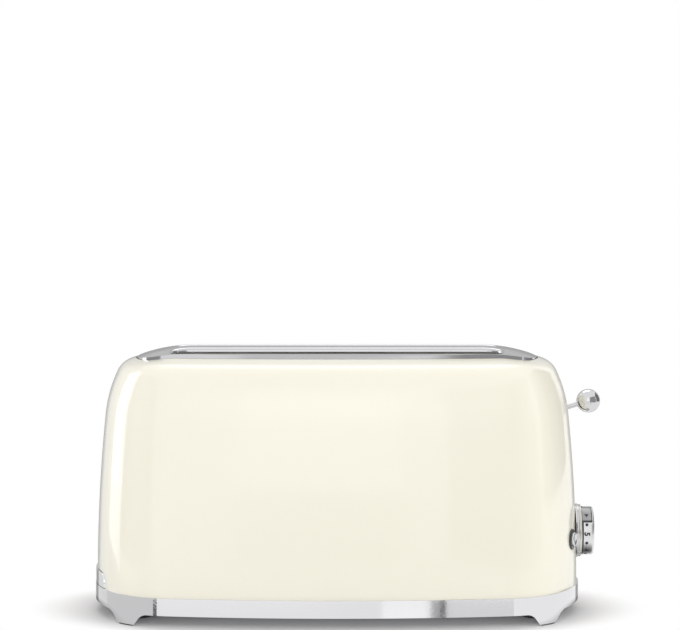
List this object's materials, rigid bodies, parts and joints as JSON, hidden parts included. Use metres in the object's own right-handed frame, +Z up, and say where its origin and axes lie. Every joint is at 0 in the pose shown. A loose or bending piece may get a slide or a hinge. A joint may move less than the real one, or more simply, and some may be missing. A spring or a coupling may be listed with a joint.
{
  "type": "pop up toaster",
  "caption": "Free-standing pop up toaster with long bread slots, a side lever with a ball, a browning knob, push buttons and a crumb tray that pulls out.",
  "frame": {"origin": "bottom centre of the whole object's box, on the table under the body", "axes": "+X along the body towards the end with the lever, +Y to the rear, +Z up"},
  "size_m": [0.4136, 0.208, 0.215],
  "materials": {
    "black_plastic": "moulded",
    "black_rubber": "matte",
    "bright_sheet": "bright rolled",
    "bright_wire": "nickel plated wire",
    "button_silver": "satin plated",
    "chrome": "mirror polished",
    "circuit_board": "solder mask",
    "coil_copper": "varnished copper wire",
    "component_plastic": "moulded",
    "cream_enamel": "gloss enamel",
    "dark_trim": "moulded",
    "ground_steel": "ground",
    "heater_ribbon": "oxidised ribbon",
    "index_tile": "silver print",
    "magnet_iron": "plain",
    "mica": "pressed mica",
    "pale_plastic": "moulded",
    "polished_steel": "polished",
    "satin_silver": "satin",
    "spring_steel": "oiled spring wire",
    "zinc_screw": "zinc plated",
    "zinc_sheet": "galvanised sheet"
  },
  "bodies": {
    "chassis": {"base_pan": "zinc_sheet", "base_ring": "satin_silver", "base_screws": "zinc_screw", "board_components": "component_plastic", "board_posts": "black_plastic", "body_shell": "cream_enamel", "button_switches": "black_plastic", "cancel_button_bezel": "dark_trim", "centre_heater_board": "mica", "centre_heater_winding": "heater_ribbon", "control_board": "circuit_board", "cord_gland": "black_plastic", "crumb_tray_rails": "zinc_sheet", "defrost_button_bezel": "dark_trim", "foot_front_left": "black_rubber", "foot_front_right": "black_rubber", "foot_rear_left": "black_rubber", "foot_rear_right": "black_rubber", "front_heater_board": "mica", "front_heater_winding": "heater_ribbon", "front_reflector": "bright_sheet", "guide_rod": "ground_steel", "knob_bezel": "satin_silver", "left_end_plate": "zinc_sheet", "magnet_coil": "coil_copper", "magnet_core": "magnet_iron", "potentiometer": "black_plastic", "rear_heater_board": "mica", "rear_heater_winding": "heater_ribbon", "rear_reflector": "bright_sheet", "right_end_plate": "zinc_sheet", "rod_bracket": "zinc_sheet", "terminal_block": "pale_plastic", "top_brace": "zinc_sheet", "top_panel": "polished_steel"},
    "lever_carriage": {"lever_arm": "ground_steel", "lever_ball": "chrome", "carriage_plate": "zinc_sheet", "carriage_bush": "black_plastic", "keeper_plate": "zinc_sheet", "front_bread_rack": "zinc_sheet", "rear_bread_rack": "zinc_sheet", "return_spring": "spring_steel"},
    "browning_knob": {"knob_drum": "satin_silver", "knob_index": "index_tile", "knob_shaft": "ground_steel"},
    "cancel_cap": {"cancel_button": "button_silver"},
    "defrost_cap": {"defrost_button": "button_silver"},
    "tray": {"crumb_tray": "zinc_sheet", "crumb_tray_front": "satin_silver"},
    "guard_front_outer": {"front_outer_guard": "bright_wire"},
    "guard_front_inner": {"front_inner_guard": "bright_wire"},
    "guard_rear_inner": {"rear_inner_guard": "bright_wire"},
    "guard_rear_outer": {"rear_outer_guard": "bright_wire"}
  },
  "joints": [
    {"name": "lever_slide", "type": "slide", "parent": "chassis", "child": "lever_carriage", "axis": [0, 0, -1], "range_m": [0, 0.068], "stiffness_N_per_m": 150, "springref_m": -0.02, "deforming": ["return_spring"]},
    {"name": "knob_turn", "type": "hinge", "parent": "chassis", "child": "browning_knob", "pos_m": [0.19118, 0, 0.0635], "axis": [1, 0, 0], "range_deg": [0, 210]},
    {"name": "cancel_press", "type": "slide", "parent": "chassis", "child": "cancel_cap", "axis": [-0.9467, 0.3222, 0], "range_m": [0, 0.0015], "stiffness_N_per_m": 400, "springref_m": -0.0005},
    {"name": "defrost_press", "type": "slide", "parent": "chassis", "child": "defrost_cap", "axis": [-0.9467, -0.3222, 0], "range_m": [0, 0.0015], "stiffness_N_per_m": 400, "springref_m": -0.0005},
    {"name": "tray_pull", "type": "slide", "parent": "chassis", "child": "tray", "axis": [-1, 0, 0], "range_m": [0, 0.3]},
    {"name": "guard_front_outer_tilt", "type": "hinge", "parent": "chassis", "child": "guard_front_outer", "pos_m": [-0.00882, -0.0475, 0.042], "axis": [-1, 0, 0], "range_deg": [0, 4.4]},
    {"name": "guard_front_inner_tilt", "type": "hinge", "parent": "chassis", "child": "guard_front_inner", "pos_m": [-0.00882, -0.0085, 0.042], "axis": [1, 0, 0], "range_deg": [0, 4.4]},
    {"name": "guard_rear_inner_tilt", "type": "hinge", "parent": "chassis", "child": "guard_rear_inner", "pos_m": [-0.00882, 0.0085, 0.042], "axis": [-1, 0, 0], "range_deg": [0, 4.4]},
    {"name": "guard_rear_outer_tilt", "type": "hinge", "parent": "chassis", "child": "guard_rear_outer", "pos_m": [-0.00882, 0.0475, 0.042], "axis": [1, 0, 0], "range_deg": [0, 4.4]}
  ],
  "couplings": [
    {"joint": "guard_front_outer_tilt", "follows": "lever_slide", "rad_per_m": 1.1292},
    {"joint": "guard_front_inner_tilt", "follows": "lever_slide", "rad_per_m": 1.1292},
    {"joint": "guard_rear_inner_tilt", "follows": "lever_slide", "rad_per_m": 1.1292},
    {"joint": "guard_rear_outer_tilt", "follows": "lever_slide", "rad_per_m": 1.1292}
  ]
}
